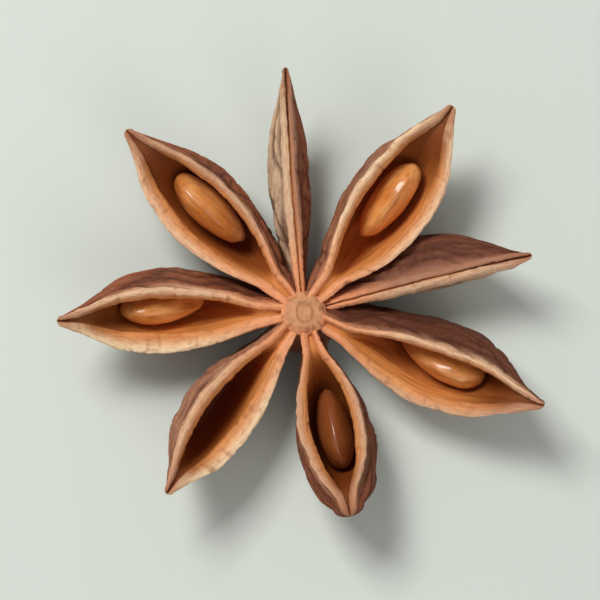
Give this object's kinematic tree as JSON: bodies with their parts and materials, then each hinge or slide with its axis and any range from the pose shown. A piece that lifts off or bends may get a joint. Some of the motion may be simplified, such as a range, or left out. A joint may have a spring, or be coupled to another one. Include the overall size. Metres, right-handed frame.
{
  "type": "star anise pod",
  "caption": "Dried star anise pod lying open side up: woody boat-shaped carpels round a short column, most of them split along the top seam, with glossy seeds in the hollows.",
  "frame": {"origin": "the middle of the stalk scar, the small flat face under the column, in the plane that the keels rest on", "axes": "+Z is the axis of the column, up out of the open side; carpel angles run from +X towards +Y"},
  "size_m": [0.0304, 0.0286, 0.0076],
  "materials": {
    "dried_pod": "matte, wrinkled",
    "seed_coat": "glossy"
  },
  "bodies": {
    "root": {"pod": "dried_pod", "seed_2": "seed_coat", "seed_4": "seed_coat", "seed_5": "seed_coat", "seed_7": "seed_coat", "seed_8": "seed_coat"}
  },
  "joints": []
}
